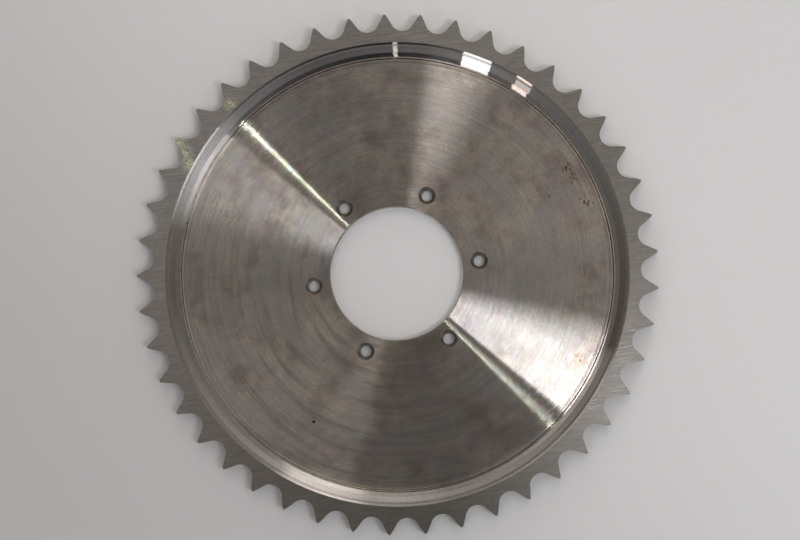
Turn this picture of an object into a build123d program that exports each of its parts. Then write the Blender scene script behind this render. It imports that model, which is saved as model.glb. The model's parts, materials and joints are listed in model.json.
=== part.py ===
from build123d import *
from math import cos, radians, sin, sqrt, tan
import os

# A plate sprocket for 5/8 in pitch roller chain, made from one steel disc.
# The disc is cut to its tooth outline, then a lathe bevels the tips and takes out the
# bore and a wide shallow recess in the front, so a thick toothed rim stands round a
# thin flat web.
# Six tapped holes round the bore hold the hub.
#
# Millimetres. The origin is the centre of the bore on the flat back face.
# +Z runs along the bore, out of the recessed front.
# +X points at the middle of one tooth gap and at one screw hole.

# The chain, which sets the size of the teeth (ISO 606, chain 10B)
CHAIN_PITCH = 15.875
ROLLER_DIAMETER = 10.16

# The teeth
TOOTH_COUNT = 45
TOOTH_WIDTH = 9.1
SEAT_CLEARANCE = 0.35
FLANK_RADIUS = 100.0
TIP_WIDTH = 0.65
TIP_BEVEL = 0.6

# The thin web and the bore in it
WEB_THICKNESS = 5.0
BORE_DIAMETER = 60.0
BORE_EDGE_BREAK = 0.3

# The screw holes, tapped M6 and drawn plain at the tapping size
SCREW_COUNT = 6
SCREW_HOLE_DIAMETER = 5.1
HOLE_CENTRE_FROM_BORE = 7.5
FRONT_COUNTERSINK_DIAMETER = 7.9
BACK_COUNTERSINK_DIAMETER = 6.4
COUNTERSINK_ANGLE = 90.0

# The wall of the recess, in order from the rim's flat top down to the web
RIM_FLAT_WIDTH = 5.0
LIP_WIDTH = 0.9
LIP_DROP = 0.46
SHOULDER_WIDTH = 0.85
SHOULDER_DROP = 0.8
UPPER_WALL_SLOPE = 39.0
LOWER_WALL_SLOPE = 27.0
LOWER_WALL_DROP = 0.9

# The rings that the last facing cuts left on the web, inwards from the wall's foot
FOOT_LAND_WIDTH = 0.6
GROOVE_WIDTH = 0.5
GROOVE_DEPTH = 0.12
BAND_WIDTH = 1.7
BAND_RISE = 0.09

# The tooth form, by the standard's construction with its smallest seating angle
PITCH_ANGLE = 360.0 / TOOTH_COUNT
PITCH_RADIUS = CHAIN_PITCH / 2 / sin(radians(PITCH_ANGLE / 2))
ROOT_RADIUS = PITCH_RADIUS - ROLLER_DIAMETER / 2
SEAT_RADIUS = ROLLER_DIAMETER / 2 + SEAT_CLEARANCE
SEAT_HALF_ANGLE = (120.0 - 90.0 / TOOTH_COUNT) / 2
SEAT_CENTRE = Vector(ROOT_RADIUS + SEAT_RADIUS, 0.0)

BORE_RADIUS = BORE_DIAMETER / 2
RECESS_RADIUS = ROOT_RADIUS - RIM_FLAT_WIDTH
BOLT_CIRCLE_RADIUS = BORE_RADIUS + HOLE_CENTRE_FROM_BORE


def from_seat_centre(distance):
    """The point this far from the seat's centre, through the seat's end on the +Y side."""
    angle = radians(180.0 - SEAT_HALF_ANGLE)
    return SEAT_CENTRE + Vector(cos(angle), sin(angle)) * distance


def mirrored(point):
    """The same point on the other side of the X axis."""
    return Vector(point.X, -point.Y)


def tip_corner():
    """Where the +Y flank ends, half a tip's width short of the tooth's centre line."""
    flank_centre = from_seat_centre(SEAT_RADIUS + FLANK_RADIUS).rotate(Axis.Z, -PITCH_ANGLE / 2)
    side = -TIP_WIDTH / 2
    rise = sqrt(FLANK_RADIUS**2 - (side - flank_centre.Y) ** 2)
    return Vector(flank_centre.X + rise, side).rotate(Axis.Z, PITCH_ANGLE / 2)


def tooth_gap():
    """The edges of the gap on +X and of the tip after it: flank, seat, flank, tip."""
    seat_end = from_seat_centre(SEAT_RADIUS)
    seat_bottom = Vector(ROOT_RADIUS, 0.0)
    corner = tip_corner()
    tip_middle = Vector(corner.length, 0.0).rotate(Axis.Z, PITCH_ANGLE / 2)
    next_corner = mirrored(corner).rotate(Axis.Z, PITCH_ANGLE)
    flank_slope = radians(90.0 - SEAT_HALF_ANGLE)
    rising = Vector(cos(flank_slope), sin(flank_slope))
    with BuildLine() as gap:
        TangentArc(mirrored(seat_end), mirrored(corner), tangent=mirrored(rising))
        ThreePointArc(mirrored(seat_end), seat_bottom, seat_end)
        TangentArc(seat_end, corner, tangent=rising)
        ThreePointArc(corner, tip_middle, next_corner)
    return gap.edges()


def toothed_plate():
    """The full-thickness disc with its teeth."""
    outline = [
        edge.rotate(Axis.Z, index * PITCH_ANGLE)
        for index in range(TOOTH_COUNT)
        for edge in tooth_gap()
    ]
    return extrude(make_face(outline), amount=TOOTH_WIDTH)


def tip_bevels():
    """What the lathe takes off the tips at both faces, a ring round each edge of the disc."""
    tip_radius = tip_corner().length
    section = Polyline(
        (tip_radius - TIP_BEVEL, 0.0),
        (tip_radius + TIP_BEVEL, 0.0),
        (tip_radius + TIP_BEVEL, 2 * TIP_BEVEL),
        close=True,
    )
    back = revolve(Plane.XZ * make_face(section), Axis.Z)
    front = mirror(back, Plane.XY.offset(TOOTH_WIDTH / 2))
    return back + front


def turned_away():
    """All that the lathe takes out: the bore, and the recess above the web."""
    groove_floor = WEB_THICKNESS - GROOVE_DEPTH
    band_top = WEB_THICKNESS + BAND_RISE
    lower_wall_top = WEB_THICKNESS + LOWER_WALL_DROP
    lip_foot = TOOTH_WIDTH - LIP_DROP
    shoulder_foot = lip_foot - SHOULDER_DROP

    lip_inner = RECESS_RADIUS - LIP_WIDTH
    shoulder_inner = lip_inner - SHOULDER_WIDTH
    crease = shoulder_inner - (shoulder_foot - lower_wall_top) / tan(radians(UPPER_WALL_SLOPE))
    wall_foot = crease - LOWER_WALL_DROP / tan(radians(LOWER_WALL_SLOPE))
    groove_outer = wall_foot - FOOT_LAND_WIDTH
    groove_inner = groove_outer - GROOVE_WIDTH
    groove_middle = (groove_outer + groove_inner) / 2
    band_inner = groove_inner - BAND_WIDTH

    section = Polyline(
        (0.0, 0.0),
        (BORE_RADIUS + BORE_EDGE_BREAK, 0.0),
        (BORE_RADIUS, BORE_EDGE_BREAK),
        (BORE_RADIUS, WEB_THICKNESS - BORE_EDGE_BREAK),
        (BORE_RADIUS + BORE_EDGE_BREAK, WEB_THICKNESS),
        (band_inner, WEB_THICKNESS),
        (groove_inner, band_top),
        (groove_middle, groove_floor),
        (groove_outer, WEB_THICKNESS),
        (wall_foot, WEB_THICKNESS),
        (crease, lower_wall_top),
        (shoulder_inner, shoulder_foot),
        (lip_inner, lip_foot),
        (RECESS_RADIUS, TOOTH_WIDTH),
        (0.0, TOOTH_WIDTH),
        close=True,
    )
    return revolve(Plane.XZ * make_face(section), Axis.Z)


def screw_hole():
    """One hole's cut, standing on the back face: the drilling and both countersinks."""
    hole_radius = SCREW_HOLE_DIAMETER / 2
    front_radius = FRONT_COUNTERSINK_DIAMETER / 2
    back_radius = BACK_COUNTERSINK_DIAMETER / 2
    slope = tan(radians(COUNTERSINK_ANGLE / 2))
    section = Polyline(
        (0.0, 0.0),
        (back_radius, 0.0),
        (hole_radius, (back_radius - hole_radius) / slope),
        (hole_radius, WEB_THICKNESS - (front_radius - hole_radius) / slope),
        (front_radius, WEB_THICKNESS),
        (0.0, WEB_THICKNESS),
        close=True,
    )
    return revolve(Plane.XZ * make_face(section), Axis.Z)


def sprocket():
    """The finished sprocket, one solid."""
    holes = PolarLocations(BOLT_CIRCLE_RADIUS, SCREW_COUNT) * screw_hole()
    return toothed_plate() - tip_bevels() - turned_away() - holes


os.makedirs("parts", exist_ok=True)
export_step(sprocket(), "parts/sprocket.step")
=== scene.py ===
# %% [markdown]
# A large chain sprocket of bare turned steel lies face up on a pale table.
# The solid comes from the CAD model, which fixes every size. This lesson gives it its finish:
# how a lathe tool leaves steel bright in wedges, why the table stays plain, and how the studio
# is lit so that the metal has something to mirror.

# %% Load the solid and keep its box
import json
from math import cos, pi, radians, sin

import bpy
from mathutils import Matrix, Vector


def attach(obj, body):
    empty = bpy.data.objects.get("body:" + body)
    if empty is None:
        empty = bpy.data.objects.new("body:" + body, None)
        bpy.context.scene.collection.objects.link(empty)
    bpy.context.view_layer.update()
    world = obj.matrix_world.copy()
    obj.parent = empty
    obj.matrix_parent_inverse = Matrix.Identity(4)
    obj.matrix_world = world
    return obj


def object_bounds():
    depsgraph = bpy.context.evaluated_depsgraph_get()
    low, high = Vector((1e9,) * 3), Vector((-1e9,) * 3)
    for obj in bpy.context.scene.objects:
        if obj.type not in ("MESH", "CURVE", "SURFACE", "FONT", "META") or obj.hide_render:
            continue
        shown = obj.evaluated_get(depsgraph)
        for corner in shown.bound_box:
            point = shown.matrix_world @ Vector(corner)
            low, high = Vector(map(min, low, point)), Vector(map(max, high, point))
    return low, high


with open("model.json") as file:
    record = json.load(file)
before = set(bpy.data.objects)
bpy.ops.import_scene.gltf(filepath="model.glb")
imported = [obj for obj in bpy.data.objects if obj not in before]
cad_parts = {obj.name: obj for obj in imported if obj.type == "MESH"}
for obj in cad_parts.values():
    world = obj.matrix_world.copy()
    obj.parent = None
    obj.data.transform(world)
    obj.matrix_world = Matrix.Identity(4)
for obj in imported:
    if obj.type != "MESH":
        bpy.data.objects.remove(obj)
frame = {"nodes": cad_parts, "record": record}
cad_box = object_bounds()
sprocket = frame["nodes"]["sprocket"]
print("CAD box:", cad_box)

# %% [markdown]
# Some sizes are needed again for the threads and for where one finish ends and the next begins.
# Those of the plate, the bore and the screw holes are read from the model, so that they can't
# differ from it. The rings that the lathe left are given as radii.

# %% Sizes in millimetres
MM = 0.001
dims = {mount["name"]: mount["dims"] for mount in frame["record"]["mounts"]}
PLATE_THICKNESS = cad_box[1][2] / MM
BORE_RADIUS = dims["bore"]["r_mm"]
HOLE_COUNT = dims["hub_screws"]["count"]
HOLE_RADIUS = dims["hub_screws"]["hole_r_mm"]
HOLES_FROM_AXIS = dims["hub_screws"]["pcd_mm"] / 2

COUNTERSINK_RADIUS = 3.95
BAND_RISES = (91.0, 95.0)
BURNISHED_RADIUS = 96.3
GROOVE_RADIUS = 96.87
WEB_EDGE_RADIUS = 97.72
RIM_EDGE_RADIUS = 103.71
TEETH_START_RADIUS = 105.0
print("bore", BORE_RADIUS, "holes", HOLE_COUNT, "x", HOLE_RADIUS, "at", HOLES_FROM_AXIS)

# %% [markdown]
# The camera looks almost straight down from 0.85 m. It stands a little off the bore's axis, so
# the far wall of the recess shows slightly wider than the near one. A long lens keeps the
# circles round.

# %% Camera
CAMERA_PLACE = Vector((0.03847, -0.05289, 0.85731))
CAMERA_AIM = Vector((0.002003, 0.000932, 0.0091))
IMAGE_UP_AZIMUTH = radians(81.424)
FOCAL_LENGTH = 85.9
SENSOR_WIDTH = 36.0
NEAREST_SEEN = 0.02

image_up = Vector((cos(IMAGE_UP_AZIMUTH), sin(IMAGE_UP_AZIMUTH), 0.0))
looking = (CAMERA_AIM - CAMERA_PLACE).normalized()
to_the_right = looking.cross(image_up).normalized()
upwards = to_the_right.cross(looking)
turn = Matrix((to_the_right, upwards, -looking)).transposed().to_4x4()

lens = bpy.data.cameras.new("camera")
lens.lens = FOCAL_LENGTH
lens.sensor_width = SENSOR_WIDTH
lens.clip_start = NEAREST_SEEN
camera = bpy.data.objects.new("camera", lens)
camera.matrix_world = Matrix.Translation(CAMERA_PLACE) @ turn
bpy.context.scene.collection.objects.link(camera)
bpy.context.scene.camera = camera
print("camera", round(camera.location.z, 3), "m above the table")

# %% [markdown]
# Colours are written as the sRGB hex values that a colour picker shows. Blender's sockets want
# linear light, so one function turns them. A second one adds any node with its settings and
# links, which keeps each step of a material in one place.

# %% Colour and node helpers
def linear(hex_colour):
    """A hex colour such as '#8a8078' as linear RGBA."""
    channels = [int(hex_colour[i:i + 2], 16) / 255 for i in (1, 3, 5)]
    return [c / 12.92 if c <= 0.04045 else ((c + 0.055) / 1.055) ** 2.4 for c in channels] + [1.0]


def node(tree, kind, sockets=(), **settings):
    """Adds a node. sockets maps each input to a value or to the output that feeds it."""
    made = tree.nodes.new(kind)
    for name, value in settings.items():
        setattr(made, name, value)
    for name, value in dict(sockets).items():
        if isinstance(value, bpy.types.NodeSocket):
            tree.links.new(value, made.inputs[name])
        else:
            made.inputs[name].default_value = value
    return made


def empty_material(name):
    """A new material with no nodes yet, and its node tree."""
    made = bpy.data.materials.new(name)
    made.use_nodes = True
    made.node_tree.nodes.clear()
    return made, made.node_tree


print("middle grey is", round(linear("#808080")[0], 3), "in linear light")

# %% [markdown]
# The table is a flat matt board that curves up far behind, so no edge shows from any side. Its
# colour is painted greyer towards one corner, a painted shade where less light falls. One disc,
# inset and raised at its edge, is enough, because all that matters stands on its flat middle.

# %% Table
TABLE_RADIUS = 4.0
TABLE_FLAT_RADIUS = 3.5
TABLE_EDGE_RISE = 0.9
TABLE_TOP = -0.0002

bpy.ops.object.select_all(action="DESELECT")
bpy.ops.mesh.primitive_circle_add(
    vertices=96, radius=TABLE_RADIUS, fill_type="NGON", location=(0, 0, TABLE_TOP)
)
table = bpy.context.object
table.name = "table"
bpy.ops.object.mode_set(mode="EDIT")
bpy.ops.mesh.select_all(action="SELECT")
bpy.ops.mesh.inset(thickness=TABLE_RADIUS - TABLE_FLAT_RADIUS)
bpy.ops.object.mode_set(mode="OBJECT")
for vertex in table.data.vertices:
    if vertex.co.length > TABLE_FLAT_RADIUS:
        vertex.co.z += TABLE_EDGE_RISE
bpy.ops.object.shade_smooth_by_angle(angle=radians(80))
print("table", len(table.data.polygons), "faces")

# %% [markdown]
# Matt paint spreads light evenly, so a high roughness and a plain colour give it. A painted
# shade darkens the colour along one direction over the table, in metres.

# %% Table paint
PAINTED_SHADE_TONE = linear("#bcb9b7")
PALER_PAINT = linear("#e1dedc")
AWAY_FROM_PAINTED_SHADE = (0.8, 0.6, 0.0)
FULL_PAINTED_SHADE_UNTIL = -0.21
PALER_FROM = 0.13

board, tree = empty_material("matt painted board")
place = node(tree, "ShaderNodeTexCoord").outputs["Object"]
along = node(
    tree, "ShaderNodeVectorMath", {0: place, 1: AWAY_FROM_PAINTED_SHADE}, operation="DOT_PRODUCT"
).outputs["Value"]
# Painted shade: the board's colour runs greyer towards one corner.
out_of_painted_shade = node(
    tree, "ShaderNodeMapRange",
    {"Value": along, "From Min": FULL_PAINTED_SHADE_UNTIL, "From Max": PALER_FROM},
    interpolation_type="SMOOTHSTEP",
).outputs[0]
paint = node(
    tree, "ShaderNodeMix", {0: out_of_painted_shade, 6: PAINTED_SHADE_TONE, 7: PALER_PAINT}, data_type="RGBA"
).outputs[2]
surface = node(tree, "ShaderNodeBsdfPrincipled", {"Base Color": paint, "Roughness": 0.6}).outputs[0]
node(tree, "ShaderNodeOutputMaterial", {"Surface": surface})
table.data.materials.append(board)
print("table paint", len(tree.nodes), "nodes")

# %% [markdown]
# Bright metal shows its surroundings, so the room is made first. A ring of pale ceiling lies
# round a dark middle, where the camera hangs, and the walls below it are dim. Three colour
# ramps hold how bright the ceiling, the walls and the foot of the walls are in each direction.
# Daylight makes one side of the walls a little bluer.
#
# Each stop is an azimuth in degrees and a brightness. The steps are uneven, as in a real room
# with windows and dark corners, and they set where the web shows its light and dark sectors.

# %% The room round about
CEILING = (
    (0, 0.73), (22, 0.87), (40, 0.61), (60, 0.5), (92, 0.44), (115, 0.34), (140, 0.6), (165, 0.28),
    (205, 0.57), (222, 0.5), (240, 0.2), (262, 0.08), (290, 0.19), (306, 0.2), (335, 0.6),
)
WALLS = (
    (0, 0.14), (15, 0.17), (31, 0.3), (50, 0.35), (56, 0.5), (66, 0.52), (76, 0.64), (93, 0.55),
    (99, 0.38), (115, 0.52), (143, 0.82), (150, 0.24), (200, 0.23), (232, 0.2), (246, 0.15),
    (249, 0.07), (262, 0.04), (290, 0.08), (303, 0.2), (330, 0.22), (342, 0.14),
)
SKIRTING = (
    (0, 0.2), (45, 0.55), (52, 0.68), (62, 1.05), (68, 0.85), (86, 1.0), (98, 0.66), (140, 0.44),
    (148.8, 0.4), (149.8, 0.12), (165, 0.12), (215, 0.3), (229, 0.45), (243, 0.43), (251, 0.3),
    (280, 0.24), (303, 0.42), (315, 0.6), (328, 0.5), (340, 0.3),
)
PLASTER = linear("#fffcf9")
DAYLIT_PLASTER = linear("#edf4ff")
NO_SIDE = (0, 0)
DAYLIT_SIDE = (210, 330)


def dimmed(colour, brightness):
    """The colour at a share of its brightness."""
    return [channel * brightness for channel in colour[:3]] + [1.0]


world = bpy.data.worlds.new("room")
world.use_nodes = True
tree = world.node_tree
tree.nodes.clear()
direction = node(tree, "ShaderNodeTexCoord").outputs["Generated"]
way = node(tree, "ShaderNodeSeparateXYZ", {0: direction}).outputs
azimuth = node(tree, "ShaderNodeMath", {0: way["Y"], 1: way["X"]}, operation="ARCTAN2").outputs[0]
turns = node(tree, "ShaderNodeMath", {0: azimuth, 1: 2 * pi}, operation="DIVIDE").outputs[0]
share = node(tree, "ShaderNodeMath", {0: turns}, operation="FRACT").outputs[0]
tiers = []
for stops, daylit_side in ((CEILING, NO_SIDE), (WALLS, DAYLIT_SIDE), (SKIRTING, DAYLIT_SIDE)):
    ramp = node(tree, "ShaderNodeValToRGB", {"Fac": share})
    marks = ramp.color_ramp.elements
    marks.remove(marks[1])
    start = stops[0][1]
    marks[0].position = 0.0
    marks[0].color = dimmed(PLASTER, start)
    for stop, brightness in stops[1:] + ((360, start),):
        daylit = daylit_side[0] < stop < daylit_side[1]
        marks.new(stop / 360).color = dimmed(DAYLIT_PLASTER if daylit else PLASTER, brightness)
    tiers.append(ramp.outputs["Color"])
ceiling, walls, skirting = tiers
print("room of", len(CEILING) + len(WALLS) + len(SKIRTING), "stops")

# %% [markdown]
# The tiers lie over one another like the courses of a dome. Each gives way to the next between
# two angles from straight up, and over the table the ceiling ends in a dark middle.

# %% The room from foot to middle
CEILING_GAIN = 2.05
WALLS_BEGIN = (66, 58)
CEILING_BEGINS = (39, 33)
MIDDLE_BEGINS = (17, 12)
BLACK = (0.0, 0.0, 0.0, 1.0)

ceiling = node(
    tree, "ShaderNodeVectorMath", {0: ceiling, "Scale": CEILING_GAIN}, operation="SCALE"
).outputs[0]
light = skirting
for (low, high), above in ((WALLS_BEGIN, walls), (CEILING_BEGINS, ceiling), (MIDDLE_BEGINS, BLACK)):
    rise = node(
        tree, "ShaderNodeMapRange",
        {"Value": way["Z"], "From Min": cos(radians(low)), "From Max": cos(radians(high))},
        interpolation_type="SMOOTHSTEP",
    ).outputs[0]
    light = node(tree, "ShaderNodeMix", {0: rise, 6: light, 7: above}, data_type="RGBA").outputs[2]
glow = node(tree, "ShaderNodeBackground", {"Color": light, "Strength": 1.0}).outputs[0]
node(tree, "ShaderNodeOutputWorld", {"Surface": glow})
bpy.context.scene.world = world
print("room", len(tree.nodes), "nodes")

# %% [markdown]
# The lamps are soft boxes hung on a dome round the table. The sides of each one point at the
# top of the dome, because such edges give turned steel clean wedges of light. Their cloth only
# adds light and hides nothing, so where two of them overlap both count.

# %% A soft box
LAMP_DISTANCE = 1.5


def on_the_dome(azimuth, from_top):
    """The place on the dome that many degrees round and down from its top."""
    a, t = radians(azimuth), radians(from_top)
    return Vector((sin(t) * cos(a), sin(t) * sin(a), cos(t))) * LAMP_DISTANCE


def soft_box(name, azimuths, from_top, brightness, colour="#ffffff", fades=(0.02, 0.02), lean=0.0):
    """A glowing panel between two azimuths and two heights. Its brightness is given for its
    upper and its lower end. It fades away towards its two sides, and its lower end leans
    round by a few degrees."""
    bpy.ops.object.select_all(action="DESELECT")
    bpy.ops.mesh.primitive_plane_add(size=1.0)
    lamp = bpy.context.object
    lamp.name = name
    upper, lower = from_top
    upper_corners = [on_the_dome(a, upper) for a in azimuths]
    lower_corners = [on_the_dome(a + lean, lower) for a in azimuths]
    for vertex, corner in zip(lamp.data.vertices, upper_corners + lower_corners):
        vertex.co = corner
    cloth, tree = empty_material("lit cloth of the " + name)
    uv = node(tree, "ShaderNodeTexCoord").outputs["UV"]
    across, down, _ = node(tree, "ShaderNodeSeparateXYZ", {0: uv}).outputs
    one_side = node(tree, "ShaderNodeMapRange", {"Value": across, "From Max": fades[0]}).outputs[0]
    other_side = node(
        tree, "ShaderNodeMapRange", {"Value": across, "From Min": 1.0, "From Max": 1.0 - fades[1]}
    ).outputs[0]
    faded = node(
        tree, "ShaderNodeMath", {0: one_side, 1: other_side}, operation="MULTIPLY"
    ).outputs[0]
    level = node(
        tree, "ShaderNodeMapRange",
        {"Value": down, "To Min": brightness[0], "To Max": brightness[1]},
    ).outputs[0]
    power = node(tree, "ShaderNodeMath", {0: faded, 1: level}, operation="MULTIPLY").outputs[0]
    glow = node(tree, "ShaderNodeEmission", {"Color": linear(colour), "Strength": power}).outputs[0]
    thin = node(tree, "ShaderNodeBsdfTransparent").outputs[0]
    surface = node(tree, "ShaderNodeAddShader", {0: glow, 1: thin}).outputs[0]
    node(tree, "ShaderNodeOutputMaterial", {"Surface": surface})
    lamp.data.materials.append(cloth)
    lamp.visible_camera = False
    return lamp


print("the dome is", LAMP_DISTANCE, "m away")

# %% [markdown]
# A window's worth of daylight, brighter in its lower half, lights the widest wedge on the web.
# A far box lights the softer fans. The skirt below each of them reaches down to the table,
# because turned steel gathers light from the whole height of a room, but only from one side.

# %% Large lamps
DAYLIGHT = "#f0f7ff"
KEY_SIDES = (312.7, 345.7)
KEY_FADES = (0.02, 0.5)

lamps = [
    soft_box("key box", KEY_SIDES, (10, 19), (6.7, 6.7), DAYLIGHT, KEY_FADES),
    soft_box("key box, lower half", KEY_SIDES, (19, 30), (16.5, 16.5), DAYLIGHT, KEY_FADES),
    soft_box("key skirt", (306.0, 343.0), (33, 88), (1.35, 0.2), DAYLIGHT, fades=(0.4, 0.6)),
    soft_box("far box", (62.0, 81.0), (20, 40), (3.6, 3.6), fades=(0.5, 0.2)),
    soft_box("far skirt", (55.5, 79.0), (40, 88), (1.0, 0.5), fades=(0.15, 0.47)),
]
print(len(lamps), "large soft boxes")

# %% [markdown]
# The sloping wall of the recess mirrors only a narrow piece of the room at each place. Upright
# strips show in it as short bright blocks. Two small boxes near the top of the dome give the web
# its thin, almost white lines.

# %% Narrow lamps
lamps += [
    soft_box("bright strip", (230.3, 238.3), (40, 76), (4.3, 2.6), "#eef5ff", lean=2.0),
    soft_box("rosy strip", (218.5, 223.1), (40, 76), (3.4, 0.4), "#fff6f2", lean=1.8),
    soft_box("thin strip", (256.4, 257.6), (42, 80), (3.0, 0.2), lean=1.6),
    soft_box("small box", (126.4, 126.8), (15, 21), (56.0, 56.0), "#ecfff0"),
    soft_box("side box", (307.9, 309.9), (3, 9), (6.5, 6.5), "#f4fff4"),
]
print(len(lamps), "soft boxes in all")

# %% [markdown]
# The thread of the six tapped holes is a fine helical ridge inside each hole. It stands in from
# the drilled wall by a little under a tenth of a millimetre, as far as an M6 thread's tolerance
# lets it. A triangle turned by a Screw modifier makes one ridge. Its open ends are then closed,
# and it is copied to the other holes.

# %% One thread ridge
THREAD_PITCH = 1.0
THREAD_TURNS = 2
STEPS_PER_TURN = 32
RIDGE_HEIGHT = 0.09
RIDGE_HALF_WIDTH = 0.28
SUNK_IN_WALL = 0.02

bpy.ops.object.select_all(action="DESELECT")
bpy.ops.mesh.primitive_circle_add(vertices=3, radius=1.0)
ridge = bpy.context.object
crest = HOLE_RADIUS - RIDGE_HEIGHT
foot = HOLE_RADIUS + SUNK_IN_WALL
profile = ((crest, 0.0), (foot, RIDGE_HALF_WIDTH), (foot, -RIDGE_HALF_WIDTH))
for vertex, (out, up) in zip(ridge.data.vertices, profile):
    vertex.co = (out * MM, 0.0, up * MM)
helix = ridge.modifiers.new("helix", "SCREW")
helix.axis = "Z"
helix.steps = STEPS_PER_TURN
helix.render_steps = STEPS_PER_TURN
helix.screw_offset = THREAD_PITCH * MM
helix.iterations = THREAD_TURNS
helix.use_merge_vertices = False
bpy.ops.object.modifier_apply(modifier="helix")
bpy.ops.object.mode_set(mode="EDIT")
bpy.ops.mesh.select_all(action="DESELECT")
bpy.ops.mesh.select_non_manifold()
bpy.ops.mesh.fill_holes(sides=3)
bpy.ops.mesh.select_all(action="SELECT")
bpy.ops.mesh.normals_make_consistent(inside=False)
bpy.ops.object.mode_set(mode="OBJECT")
print("one ridge", len(ridge.data.polygons), "faces")

# %% [markdown]
# Each copy of the ridge has a mesh of its own. They are set in their holes, joined into one
# piece, and their places are applied, so that the piece itself sits at the origin.

# %% Threads in all the holes
FIRST_TURN_HEIGHT = 1.1

ridges = [ridge]
while len(ridges) < HOLE_COUNT:
    bpy.ops.object.duplicate()
    ridges.append(bpy.context.object)
for index, ridge in enumerate(ridges):
    angle = 2 * pi * index / HOLE_COUNT
    hole = Vector((HOLES_FROM_AXIS * cos(angle), HOLES_FROM_AXIS * sin(angle), FIRST_TURN_HEIGHT))
    ridge.location = hole * MM
    ridge.select_set(True)
bpy.context.view_layer.objects.active = ridges[0]
bpy.ops.object.join()
bpy.ops.object.transform_apply(location=True, rotation=True, scale=True)
threads = bpy.context.object
threads.name = "threads"
bpy.ops.object.shade_smooth_by_angle(angle=radians(40))
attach(threads, "root")
print("threads", len(threads.data.polygons), "faces")

# %% [markdown]
# The ridge of a cut thread is plain bright steel, and far too narrow to show any grain.

# %% Thread steel
CUT_STEEL = linear("#a0988f")

tapped_steel, tree = empty_material("tapped steel")
surface = node(
    tree, "ShaderNodeBsdfPrincipled", {"Base Color": CUT_STEEL, "Metallic": 1.0, "Roughness": 0.3}
).outputs[0]
node(tree, "ShaderNodeOutputMaterial", {"Surface": surface})
threads.data.materials.append(tapped_steel)
print("tapped steel", len(tree.nodes), "nodes")

# %% [markdown]
# The sprocket itself is turned steel. Its finish changes with the distance from the axis: the
# flat web, the sloping wall of the recess, and the rim, which was left from the plate. So the
# material starts from each point's place in millimetres, its radius, and the directions
# straight out and round the axis.

# %% Steel: where each cut lies
steel, tree = empty_material("turned steel")
place = node(tree, "ShaderNodeTexCoord").outputs["Object"]
place_mm = node(
    tree, "ShaderNodeVectorMath", {0: place, "Scale": 1 / MM}, operation="SCALE"
).outputs[0]
outwards = node(
    tree, "ShaderNodeVectorMath", {0: place_mm, 1: (1, 1, 0)}, operation="MULTIPLY"
).outputs[0]
radius = node(tree, "ShaderNodeVectorMath", {0: outwards}, operation="LENGTH").outputs["Value"]
straight_out = node(tree, "ShaderNodeVectorMath", {0: outwards}, operation="NORMALIZE").outputs[0]
round_the_axis = node(
    tree, "ShaderNodeVectorMath", {0: (0, 0, 1), 1: straight_out}, operation="CROSS_PRODUCT"
).outputs[0]
off_web = node(
    tree, "ShaderNodeMath", {0: radius, 1: WEB_EDGE_RADIUS}, operation="GREATER_THAN"
).outputs[0]
on_rim = node(
    tree, "ShaderNodeMath", {0: radius, 1: RIM_EDGE_RADIUS}, operation="GREATER_THAN"
).outputs[0]
print("web to", WEB_EDGE_RADIUS, "mm, rim from", RIM_EDGE_RADIUS, "mm")

# %% [markdown]
# Bore, screw holes and tooth flanks stand upright, where grooves round the axis would have no
# sense. They are plain cut steel. The directions round the axis are folded into one sector, so
# that a single test finds every screw hole. A hair outside the countersink still counts as in it.

# %% Steel: screw holes
HAIR = 0.005

sides = node(tree, "ShaderNodeSeparateXYZ", {0: outwards}).outputs
azimuth = node(tree, "ShaderNodeMath", {0: sides["Y"], 1: sides["X"]}, operation="ARCTAN2").outputs[0]
folded = node(
    tree, "ShaderNodeMath", {0: azimuth, 1: pi / HOLE_COUNT, 2: -pi / HOLE_COUNT}, operation="WRAP"
).outputs[0]
folded_x = node(tree, "ShaderNodeMath", {0: folded}, operation="COSINE").outputs[0]
folded_y = node(tree, "ShaderNodeMath", {0: folded}, operation="SINE").outputs[0]
folded_out = node(tree, "ShaderNodeCombineXYZ", {"X": folded_x, "Y": folded_y}).outputs[0]
folded_place = node(
    tree, "ShaderNodeVectorMath", {0: folded_out, "Scale": radius}, operation="SCALE"
).outputs[0]
from_hole = node(
    tree, "ShaderNodeVectorMath", {0: folded_place, 1: (HOLES_FROM_AXIS, 0, 0)},
    operation="DISTANCE",
).outputs["Value"]
in_hole = node(
    tree, "ShaderNodeMath", {0: from_hole, 1: COUNTERSINK_RADIUS + HAIR}, operation="LESS_THAN"
).outputs[0]
print("screw holes", len(tree.nodes), "nodes")

# %% [markdown]
# Only the bore's wall lies at its radius. Among the teeth, all that lies between the two faces
# of the plate is a flank or a bevelled tip.

# %% Steel: bore and tooth flanks
BORE_HAIR = 0.02

in_bore = node(
    tree, "ShaderNodeMath", {0: radius, 1: BORE_RADIUS + BORE_HAIR}, operation="LESS_THAN"
).outputs[0]
among_teeth = node(
    tree, "ShaderNodeMath", {0: radius, 1: TEETH_START_RADIUS}, operation="GREATER_THAN"
).outputs[0]
height = node(tree, "ShaderNodeSeparateXYZ", {0: place_mm}).outputs["Z"]
between_faces = node(
    tree, "ShaderNodeMath", {0: height, 1: PLATE_THICKNESS / 2, 2: PLATE_THICKNESS / 2 - HAIR},
    operation="COMPARE",
).outputs[0]
on_flank = node(
    tree, "ShaderNodeMath", {0: among_teeth, 1: between_faces}, operation="MULTIPLY"
).outputs[0]
upright = node(tree, "ShaderNodeMath", {0: in_bore, 1: in_hole}, operation="MAXIMUM").outputs[0]
upright = node(tree, "ShaderNodeMath", {0: upright, 1: on_flank}, operation="MAXIMUM").outputs[0]
print("upright surfaces", len(tree.nodes), "nodes")

# %% [markdown]
# Most marks on the steel are noise of some kind, and they differ in where it is read. Stains read
# it by place. Marks that the tool left run round the axis, so their noise is read by direction
# and radius. A mark that is confined to one area fades away with the distance from its middle.
# The three helpers add their nodes to the turned steel.

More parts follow.
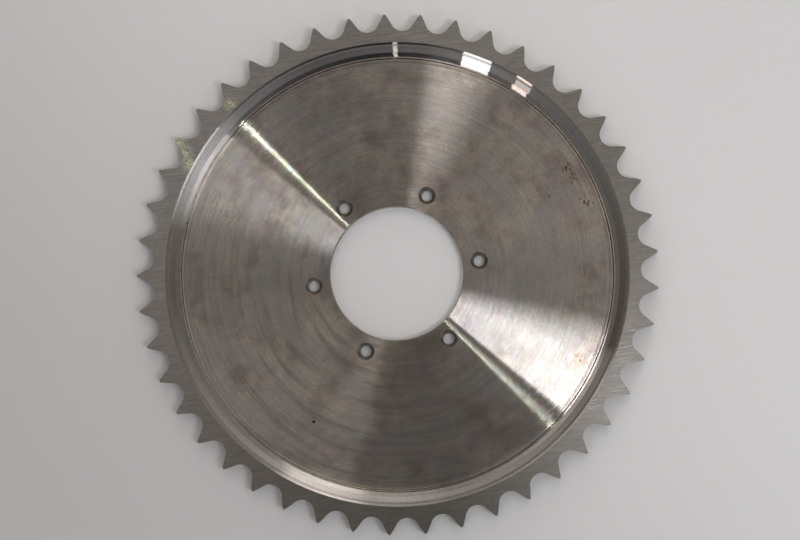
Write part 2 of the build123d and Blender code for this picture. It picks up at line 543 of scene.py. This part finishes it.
# %% Steel: helpers for marks
def patchy(place, noise, between, levels=(0.0, 1.0)):
    """Noise that runs from one level to the other between two of its own values."""
    value = node(tree, "ShaderNodeTexNoise", {"Vector": place, **noise}).outputs["Fac"]
    reach = {"From Min": between[0], "From Max": between[1], "To Min": levels[0], "To Max": levels[1]}
    return node(tree, "ShaderNodeMapRange", {"Value": value, **reach}).outputs[0]


def ring_place(per_radian, width):
    """Where to read noise for marks round the axis: how many fit in a radian, and their width."""
    swept = node(
        tree, "ShaderNodeVectorMath", {0: straight_out, "Scale": per_radian}, operation="SCALE"
    ).outputs[0]
    ring = node(tree, "ShaderNodeMath", {0: radius, 1: 1 / width}, operation="MULTIPLY").outputs[0]
    ring = node(tree, "ShaderNodeCombineXYZ", {"Z": ring}).outputs[0]
    return node(tree, "ShaderNodeVectorMath", {0: swept, 1: ring}, operation="ADD").outputs[0]


def near_spot(x, y, edge, core, levels=(0.0, 1.0)):
    """Runs from one level at a spot's edge to the other at its core, both given as radii."""
    away = node(
        tree, "ShaderNodeVectorMath", {0: outwards, 1: (x, y, 0.0)}, operation="DISTANCE"
    ).outputs["Value"]
    reach = {"From Min": edge, "From Max": core, "To Min": levels[0], "To Max": levels[1]}
    return node(tree, "ShaderNodeMapRange", {"Value": away, **reach}).outputs[0]


print("helpers ready")

# %% [markdown]
# Hands leave soft blotches a centimetre or two wide on bare steel, some browner and some greyer.

# %% Steel: handling stains
PALE = linear("#b1a79b")
BROWN = linear("#94877f")
GREY = linear("#a49d98")
BLOTCH_WIDTH = 12.5
PATCH_WIDTH = 200 / 9

browned = patchy(
    place_mm, {"Scale": 1 / BLOTCH_WIDTH, "Detail": 6.0, "Roughness": 0.62}, between=(0.4, 0.62)
)
colour = node(tree, "ShaderNodeMix", {0: browned, 6: PALE, 7: BROWN}, data_type="RGBA").outputs[2]
greyed = patchy(
    place_mm, {"Scale": 1 / PATCH_WIDTH, "Detail": 3.0, "Distortion": 0.6},
    between=(0.42, 0.6), levels=(0.0, 0.75),
)
colour = node(tree, "ShaderNodeMix", {0: greyed, 6: colour, 7: GREY}, data_type="RGBA").outputs[2]
print("stains", BLOTCH_WIDTH, "and", round(PATCH_WIDTH, 1), "mm wide")

# %% [markdown]
# Dark smears run round the axis where the steel was wiped as it turned. They are soft, a few
# millimetres wide and a few centimetres long, and most of them lie on one side of the bore.

# %% Steel: smears
SMEAR_COLOUR = linear("#7d7873")
SMEAR_WIDTH = 10 / 3
SMEARS_PER_RADIAN = 1.9
MOST_SMEARED = (-50.0, -35.0)

strength = near_spot(*MOST_SMEARED, edge=70.0, core=40.0, levels=(0.15, 0.46))
smeared = patchy(
    ring_place(SMEARS_PER_RADIAN, SMEAR_WIDTH), {"Scale": 1.0, "Detail": 2.0},
    between=(0.54, 0.67), levels=(0.0, strength),
)
colour = node(
    tree, "ShaderNodeMix", {0: smeared, 6: colour, 7: SMEAR_COLOUR}, data_type="RGBA"
).outputs[2]
print("smears round", MOST_SMEARED)

# %% [markdown]
# The wall of the recess is clean. At its foot the web rises into a low band, where the tool
# slowed down and left rings like the teeth of a comb, which grow stronger towards the wall.

# %% Steel: recess wall and band
WALL_COLOUR = linear("#aca49d")
COMB_WIDTH = 2 / 3
COMB_REACH = 0.22

colour = node(
    tree, "ShaderNodeMix", {0: off_web, 6: colour, 7: WALL_COLOUR}, data_type="RGBA"
).outputs[2]
by_radius = node(tree, "ShaderNodeCombineXYZ", {"Z": radius}).outputs[0]
comb = patchy(
    by_radius, {"Scale": 1 / COMB_WIDTH, "Detail": 2.0},
    between=(0.35, 0.65), levels=(-COMB_REACH, COMB_REACH),
)
on_band = node(
    tree, "ShaderNodeMapRange",
    {"Value": radius, "From Min": BAND_RISES[0], "From Max": BAND_RISES[1]},
).outputs[0]
on_band = node(tree, "ShaderNodeMath", {0: on_band, 1: off_web}, operation="SUBTRACT").outputs[0]
comb = node(
    tree, "ShaderNodeMath", {0: comb, 1: on_band, 2: 1.0}, operation="MULTIPLY_ADD"
).outputs[0]
colour = node(
    tree, "ShaderNodeVectorMath", {0: colour, "Scale": comb}, operation="SCALE"
).outputs[0]
print("band from", BAND_RISES[0], "mm, wall from", WEB_EDGE_RADIUS, "mm")

# %% [markdown]
# A burnished line shines on the band, and the fine groove beside it has filled with dark dirt,
# here more and there less. Both are exact rings, so they are found by their radius.

# %% Steel: burnished line and groove
BURNISHED_HALF_WIDTH = 0.22
BURNISHED_GAIN = 0.5
DIRT = linear("#2b2826")
DIRT_PER_RADIAN = 1.3
GROOVE_HALF_WIDTH = 0.24

on_line = node(
    tree, "ShaderNodeMath", {0: radius, 1: BURNISHED_RADIUS, 2: BURNISHED_HALF_WIDTH},
    operation="COMPARE",
).outputs[0]
shine = node(
    tree, "ShaderNodeMath", {0: on_line, 1: BURNISHED_GAIN, 2: 1.0}, operation="MULTIPLY_ADD"
).outputs[0]
colour = node(
    tree, "ShaderNodeVectorMath", {0: colour, "Scale": shine}, operation="SCALE"
).outputs[0]
in_groove = node(
    tree, "ShaderNodeMath", {0: radius, 1: GROOVE_RADIUS, 2: GROOVE_HALF_WIDTH},
    operation="COMPARE",
).outputs[0]
filled = patchy(
    straight_out, {"Scale": DIRT_PER_RADIAN, "Detail": 3.0},
    between=(0.3, 0.55), levels=(0.2, 0.85),
)
filled = node(tree, "ShaderNodeMath", {0: filled, 1: in_groove}, operation="MULTIPLY").outputs[0]
colour = node(tree, "ShaderNodeMix", {0: filled, 6: colour, 7: DIRT}, data_type="RGBA").outputs[2]
print("groove at", GROOVE_RADIUS, "mm, burnished line at", BURNISHED_RADIUS, "mm")

# %% [markdown]
# The tool's own marks are rings that fade in and out along their length. The finest rings of all
# act like a grating and tint the steel slightly. Real feed marks are a tenth of a millimetre
# apart, too fine to show, so both are drawn coarser.

# %% Steel: tool marks
MARK_WIDTH = 5 / 6
MARKS_PER_RADIAN = 1.4
MARK_REACH = 0.08
TINT_WIDTH = 6.25
TINTS_PER_RADIAN = 1.5
TINT_REACH = 0.1

marked = patchy(
    ring_place(MARKS_PER_RADIAN, MARK_WIDTH), {"Scale": 1.0, "Detail": 3.0},
    between=(0.3, 0.7), levels=(1 - MARK_REACH, 1 + MARK_REACH),
)
colour = node(
    tree, "ShaderNodeVectorMath", {0: colour, "Scale": marked}, operation="SCALE"
).outputs[0]
tint_place = ring_place(TINTS_PER_RADIAN, TINT_WIDTH)
tint = node(
    tree, "ShaderNodeTexNoise", {"Vector": tint_place, "Scale": 1.0, "Detail": 2.0}
).outputs["Color"]
tint = node(
    tree, "ShaderNodeVectorMath", {0: tint, 1: [TINT_REACH] * 3, 2: [1 - TINT_REACH / 2] * 3},
    operation="MULTIPLY_ADD",
).outputs[0]
colour = node(tree, "ShaderNodeVectorMath", {0: colour, 1: tint}, operation="MULTIPLY").outputs[0]
print("tool marks", round(MARK_WIDTH, 2), "mm wide")

# %% [markdown]
# The rim was never turned and keeps the dull grey of the plate. Towards one side its colour is
# painted darker, a painted shade. Over the whole face goes a grain about a millimetre wide.

# %% Steel: rim and grain
PLATE_SKIN = linear("#7a746e")
PAINTED_SHADE_SKIN = linear("#4f4a44")
DARKEST_PAINTED_SHADE = (-35.0, -125.0)
GRAIN_WIDTH = 1.25
GRAIN_REACH = 0.09

# Painted shade: the rim's colour is darker towards one side.
painted_shade_share = near_spot(*DARKEST_PAINTED_SHADE, edge=130.0, core=40.0, levels=(0.0, 0.7))
plate = node(
    tree, "ShaderNodeMix", {0: painted_shade_share, 6: PLATE_SKIN, 7: PAINTED_SHADE_SKIN}, data_type="RGBA"
).outputs[2]
colour = node(tree, "ShaderNodeMix", {0: on_rim, 6: colour, 7: plate}, data_type="RGBA").outputs[2]
grain = patchy(
    place_mm, {"Scale": 1 / GRAIN_WIDTH, "Detail": 3.0, "Roughness": 0.6},
    between=(0.3, 0.7), levels=(1 - GRAIN_REACH, 1 + GRAIN_REACH),
)
colour = node(
    tree, "ShaderNodeVectorMath", {0: colour, "Scale": grain}, operation="SCALE"
).outputs[0]
print("grain", GRAIN_WIDTH, "mm wide")

# %% [markdown]
# The plate was ground before it was cut, all of it along X. That left straight marks over the
# whole rim, long and thin. On one side a few scratches beside them go deeper and shine pale. A
# Mapping node stretches a noise along X for each of them. It turns the noise only after that, so
# the turn leaves the marks along X and just picks another part of the noise.

# %% Steel: scratches on the rim
SCRATCH_COLOUR = linear("#d8d0c4")
SCRATCH_LENGTH = 100 / 9
SCRATCH_WIDTH = 5 / 12
SCRATCH_NOISE_TURN = radians(-52)
MOST_SCRATCHED = (90.0, -58.0)
GRINDING_LENGTH = 100 / 7
GRINDING_WIDTH = 5 / 6
GRINDING_NOISE_TURN = radians(9)
GRINDING_REACH = 0.16

scratch_place = node(tree, "ShaderNodeMapping", {
    "Vector": place_mm,
    "Rotation": (0.0, 0.0, SCRATCH_NOISE_TURN),
    "Scale": (1 / SCRATCH_LENGTH, 1 / SCRATCH_WIDTH, 0.0),
}).outputs[0]
scratched = patchy(scratch_place, {"Scale": 1.0, "Detail": 1.0}, between=(0.62, 0.72))
near = near_spot(*MOST_SCRATCHED, edge=34.0, core=18.0, levels=(0.0, 0.55))
scratched = node(tree, "ShaderNodeMath", {0: scratched, 1: near}, operation="MULTIPLY").outputs[0]
scratched = node(tree, "ShaderNodeMath", {0: scratched, 1: on_rim}, operation="MULTIPLY").outputs[0]
colour = node(
    tree, "ShaderNodeMix", {0: scratched, 6: colour, 7: SCRATCH_COLOUR}, data_type="RGBA"
).outputs[2]
ground_place = node(tree, "ShaderNodeMapping", {
    "Vector": place_mm,
    "Rotation": (0.0, 0.0, GRINDING_NOISE_TURN),
    "Scale": (1 / GRINDING_LENGTH, 1 / GRINDING_WIDTH, 0.0),
}).outputs[0]
ground = patchy(
    ground_place, {"Scale": 1.0, "Detail": 2.0},
    between=(0.3, 0.7), levels=(-GRINDING_REACH, GRINDING_REACH),
)
ground = node(
    tree, "ShaderNodeMath", {0: ground, 1: on_rim, 2: 1.0}, operation="MULTIPLY_ADD"
).outputs[0]
colour = node(
    tree, "ShaderNodeVectorMath", {0: colour, "Scale": ground}, operation="SCALE"
).outputs[0]
print("grinding marks", round(GRINDING_LENGTH, 1), "by", round(GRINDING_WIDTH, 2), "mm")

# %% [markdown]
# Specks of rust have started on the web near the recess wall, a few pits have stayed black, and
# some teeth carry painted glints, yellowish highlights painted into their colour. Each spot is
# written as x, y and how far it reaches, in millimetres, and a fine noise breaks the rust and the
# glints up.

# %% Steel: rust, pits and painted glints
RUST_COLOUR = linear("#71481f")
RUST_SPOTS = (
    (87.0, 19.0, 3.0), (90.0, 18.0, 2.6), (82.4, 34.9, 3.5), (84.0, 30.1, 3.5),
    (92.0, 26.9, 3.0), (72.0, 22.5, 3.0), (83.0, -12.0, 2.6), (74.5, -50.3, 3.2),
)
PIT_COLOUR = linear("#1c1a18")
PITS = ((-46.4, -60.1, 0.85), (-90.0, 36.7, 0.5), (-95.7, 15.7, 0.5))
PAINTED_GLINT_COLOUR = linear("#cfcda6")
PAINTED_GLINT_SPOTS = ((-88.0, 73.0, 5.0), (-86.5, 67.5, 5.5), (-84.5, 62.0, 4.5), (-62.5, 86.5, 4.0))
FLECK_WIDTH = 1.0
FLECKS_PER_RADIAN = 40.0
GLINTS_PER_FLECK = 2.6


def nearest(spots, core_share):
    """How near each point is to the nearest spot, from 0 outside them all to 1 in a core."""
    near = 0.0
    for x, y, reach in spots:
        inside = near_spot(x, y, edge=reach, core=reach * core_share)
        near = node(tree, "ShaderNodeMath", {0: near, 1: inside}, operation="MAXIMUM").outputs[0]
    return near


fleck_place = ring_place(FLECKS_PER_RADIAN, FLECK_WIDTH)
flecked = patchy(
    fleck_place, {"Scale": 1.0, "Detail": 2.0}, between=(0.55, 0.6), levels=(0.07, 1.0)
)
rusted = node(
    tree, "ShaderNodeMath", {0: flecked, 1: nearest(RUST_SPOTS, 0.3)}, operation="MULTIPLY"
).outputs[0]
colour = node(
    tree, "ShaderNodeMix", {0: rusted, 6: colour, 7: RUST_COLOUR}, data_type="RGBA"
).outputs[2]
colour = node(
    tree, "ShaderNodeMix", {0: nearest(PITS, 0.6), 6: colour, 7: PIT_COLOUR}, data_type="RGBA"
).outputs[2]
# Painted glints: bright yellowish highlights mixed into the colour of some teeth.
glinting = patchy(
    fleck_place, {"Scale": GLINTS_PER_FLECK, "Detail": 2.0},
    between=(0.42, 0.64), levels=(0.0, 0.9),
)
painted_glint_share = node(
    tree, "ShaderNodeMath", {0: glinting, 1: nearest(PAINTED_GLINT_SPOTS, 0.2)}, operation="MULTIPLY"
).outputs[0]
painted_glint_share = node(tree, "ShaderNodeMath", {0: painted_glint_share, 1: on_rim}, operation="MULTIPLY").outputs[0]
colour = node(
    tree, "ShaderNodeMix", {0: painted_glint_share, 6: colour, 7: PAINTED_GLINT_COLOUR}, data_type="RGBA"
).outputs[2]
print(len(RUST_SPOTS), "rust spots,", len(PITS), "pits,", len(PAINTED_GLINT_SPOTS), "painted_glints")

# %% [markdown]
# The work swings a little under the tool, more towards the outside, so the grooves wander by a
# fraction of a degree. That frays the hard sides of the wedges of light there. On the wall the
# grooves are steadier.

# %% Steel: wandering grooves
WANDER_WIDTH = 5 / 7
WANDERS_PER_RADIAN = 5.0
WANDER_SLOPE = 0.0042
WANDER_AT_BORE = 0.15
WANDER_LESS_ON_WALL = 0.9
WANDER_GROWS_OVER = (30.0, 97.0)

sideways = patchy(
    ring_place(WANDERS_PER_RADIAN, WANDER_WIDTH), {"Scale": 1.0, "Detail": 2.0},
    between=(0.0, 1.0), levels=(-WANDER_SLOPE, WANDER_SLOPE),
)
growth = node(tree, "ShaderNodeMapRange", {
    "Value": radius,
    "From Min": WANDER_GROWS_OVER[0],
    "From Max": WANDER_GROWS_OVER[1],
    "To Min": WANDER_AT_BORE,
}).outputs[0]
growth = node(
    tree, "ShaderNodeMath", {0: off_web, 1: -WANDER_LESS_ON_WALL, 2: growth},
    operation="MULTIPLY_ADD",
).outputs[0]
sideways = node(tree, "ShaderNodeMath", {0: sideways, 1: growth}, operation="MULTIPLY").outputs[0]
tilt = node(
    tree, "ShaderNodeVectorMath", {0: round_the_axis, "Scale": sideways}, operation="SCALE"
).outputs[0]
facing = node(tree, "ShaderNodeNewGeometry").outputs["Normal"]
wandering = node(tree, "ShaderNodeVectorMath", {0: facing, 1: tilt}, operation="ADD").outputs[0]
wandering = node(tree, "ShaderNodeVectorMath", {0: wandering}, operation="NORMALIZE").outputs[0]
print("grooves wander by up to", WANDER_SLOPE)

# %% [markdown]
# Here and there the tool rubbed instead of cutting. These rings are mirror-bright, each lies at
# its own slight tilt, and they are so fine that they split a small lamp's light into colours.
# They are far too fine to draw, so wider ones with a hue of their own stand for them.

# %% Steel: rubbed rings
RUBBED_WIDTH = 5 / 12
RUBBED_PER_RADIAN = 16.0
RUBBED_SLOPE = 0.08
HUES_PER_RING = 0.2
LAST_HUE = 0.85
RUBBED_SATURATION = 0.85
RUBBED_BRIGHTNESS = 0.9

rubbed_place = ring_place(RUBBED_PER_RADIAN, RUBBED_WIDTH)
slope = patchy(
    rubbed_place, {"Scale": 1.0, "Detail": 1.0},
    between=(0.3, 0.7), levels=(-RUBBED_SLOPE, RUBBED_SLOPE),
)
lean = node(
    tree, "ShaderNodeVectorMath", {0: straight_out, "Scale": slope}, operation="SCALE"
).outputs[0]
leaning = node(tree, "ShaderNodeVectorMath", {0: wandering, 1: lean}, operation="ADD").outputs[0]
leaning = node(tree, "ShaderNodeVectorMath", {0: leaning}, operation="NORMALIZE").outputs[0]
hue = patchy(
    rubbed_place, {"Scale": HUES_PER_RING, "Detail": 1.0},
    between=(0.35, 0.65), levels=(0.0, LAST_HUE),
)
spectral = node(
    tree, "ShaderNodeCombineColor", {0: hue, 1: RUBBED_SATURATION, 2: RUBBED_BRIGHTNESS}, mode="HSV"
).outputs[0]
print("rubbed rings", round(RUBBED_WIDTH, 2), "mm wide")

# %% [markdown]
# A lathe tool leaves fine grooves round the axis. Across the grooves light spreads widely, and
# along them it hardly spreads at all, so each lamp becomes a wedge with hard sides. A glossy
# shader with a tangent that runs round the axis does this. The wall's finer cut is smoother than
# the web's. A few hundredths of the web's light come from the rubbed rings.

# %% Steel: turned surfaces
WEB_ROUGHNESS = 0.1286
WALL_ROUGHNESS = 0.0812
GROOVE_ANISOTROPY = 0.905
RUBBED_ROUGHNESS = 0.062
RUBBED_ANISOTROPY = 0.75
RUBBED_SHARE = 0.045

cut = node(
    tree, "ShaderNodeMath", {0: off_web, 1: WALL_ROUGHNESS - WEB_ROUGHNESS, 2: WEB_ROUGHNESS},
    operation="MULTIPLY_ADD",
).outputs[0]
grooved = node(tree, "ShaderNodeBsdfAnisotropic", {
    "Color": colour,
    "Roughness": cut,
    "Anisotropy": GROOVE_ANISOTROPY,
    "Tangent": round_the_axis,
    "Normal": wandering,
}, distribution="BECKMANN").outputs[0]
rubbed = node(tree, "ShaderNodeBsdfAnisotropic", {
    "Color": spectral,
    "Roughness": RUBBED_ROUGHNESS,
    "Anisotropy": RUBBED_ANISOTROPY,
    "Tangent": round_the_axis,
    "Normal": leaning,
}, distribution="BECKMANN").outputs[0]
rubbed_share = node(
    tree, "ShaderNodeMath", {0: off_web, 1: -RUBBED_SHARE, 2: RUBBED_SHARE},
    operation="MULTIPLY_ADD",
).outputs[0]
turned = node(tree, "ShaderNodeMixShader", {0: rubbed_share, 1: grooved, 2: rubbed}).outputs[0]
print("turned surfaces", len(tree.nodes), "nodes")

# %% [markdown]
# Stains dull the web a little, so duller steel takes a share there. The wall has none of it, and
# the rim, which was never turned, is all duller steel. A Principled shader spreads light along
# its tangent, where the glossy one spreads it across, so here the tangent points straight out.
# The upright surfaces are plain steel, smoother inside the screw holes, where a darker colour
# is painted shade.

# %% Steel: all surfaces together
DULLED_ROUGHNESS = 0.44
DULLED_ANISOTROPY = 0.6
TURNED_SHARE_ON_WEB = 0.88
HOLE_STEEL_WITH_PAINTED_SHADE = linear("#8c857d")
FLANK_ROUGHNESS = 0.35
HOLE_ROUGHNESS = 0.29

dulled = node(tree, "ShaderNodeBsdfPrincipled", {
    "Base Color": colour,
    "Metallic": 1.0,
    "Roughness": DULLED_ROUGHNESS,
    "Anisotropic": DULLED_ANISOTROPY,
    "Tangent": straight_out,
}).outputs[0]
# Painted shade: the colour inside the screw holes is darker.
plain_colour = node(
    tree, "ShaderNodeMix", {0: in_hole, 6: CUT_STEEL, 7: HOLE_STEEL_WITH_PAINTED_SHADE}, data_type="RGBA"
).outputs[2]
plain_finish = node(
    tree, "ShaderNodeMath", {0: in_hole, 1: HOLE_ROUGHNESS - FLANK_ROUGHNESS, 2: FLANK_ROUGHNESS},
    operation="MULTIPLY_ADD",
).outputs[0]
plain = node(
    tree, "ShaderNodeBsdfPrincipled",
    {"Base Color": plain_colour, "Metallic": 1.0, "Roughness": plain_finish},
).outputs[0]
turned_share = node(
    tree, "ShaderNodeMath", {0: off_web, 1: 1 - TURNED_SHARE_ON_WEB, 2: TURNED_SHARE_ON_WEB},
    operation="MULTIPLY_ADD",
).outputs[0]
turned_share = node(
    tree, "ShaderNodeMath", {0: turned_share, 1: on_rim}, operation="SUBTRACT"
).outputs[0]
surface = node(tree, "ShaderNodeMixShader", {0: turned_share, 1: dulled, 2: turned}).outputs[0]
surface = node(tree, "ShaderNodeMixShader", {0: upright, 1: surface, 2: plain}).outputs[0]
node(tree, "ShaderNodeOutputMaterial", {"Surface": surface})
sprocket.material_slots[0].material = steel
print("turned steel", len(tree.nodes), "nodes")

# %% [markdown]
# The picture keeps Blender's Standard view, so that colours come out as they were written.

# %% Colour view
bpy.context.scene.view_settings.view_transform = "Standard"
